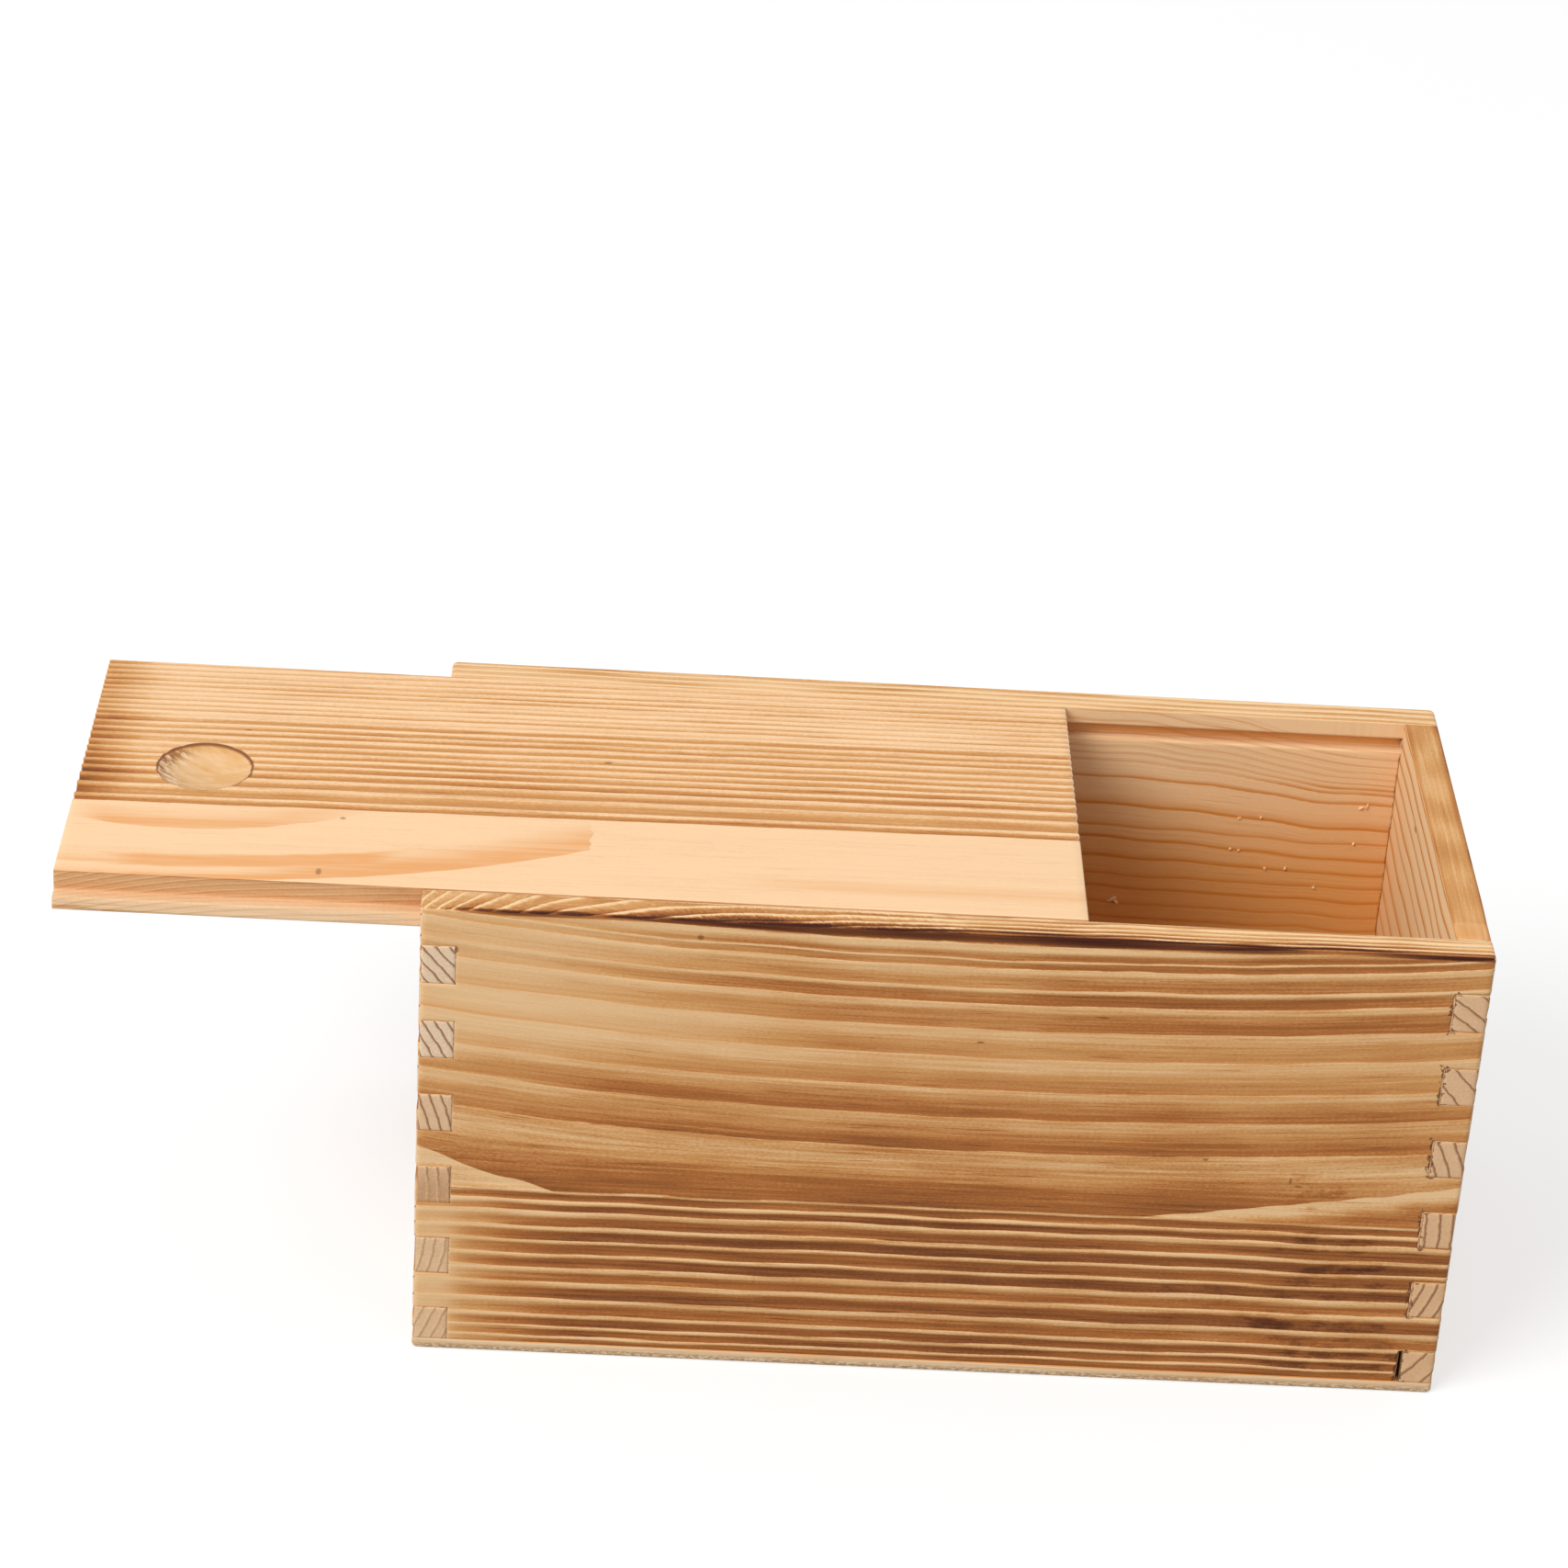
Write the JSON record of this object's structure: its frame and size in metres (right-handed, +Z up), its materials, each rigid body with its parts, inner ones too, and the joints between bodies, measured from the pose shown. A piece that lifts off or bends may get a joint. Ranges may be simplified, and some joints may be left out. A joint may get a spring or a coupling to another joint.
{
  "type": "wooden box with sliding lid",
  "caption": "Rectangular finger-jointed wooden box for jewellery, with a sliding lid that has a round thumb dish.",
  "frame": {"origin": "middle of the case's underside", "axes": "+Z up, +X along the case away from the end where the lid comes out, -Y towards the front wall"},
  "size_m": [0.2685, 0.098, 0.1001],
  "materials": {
    "wall_wood": "flamed and wire-brushed pine, unvarnished",
    "panel_wood": "plain sanded thin board, unvarnished",
    "lid_wood": "partly flamed and wire-brushed pine, unvarnished"
  },
  "bodies": {
    "case": {"front_wall": "wall_wood", "back_wall": "wall_wood", "left_end_wall": "wall_wood", "right_end_wall": "wall_wood", "bottom_panel": "panel_wood"},
    "lid": {"lid": "lid_wood"}
  },
  "joints": [
    {"name": "lid_slide", "type": "slide", "parent": "case", "child": "lid", "axis": [-1, 0, 0], "range_m": [-0.0685, 0.1245]}
  ]
}
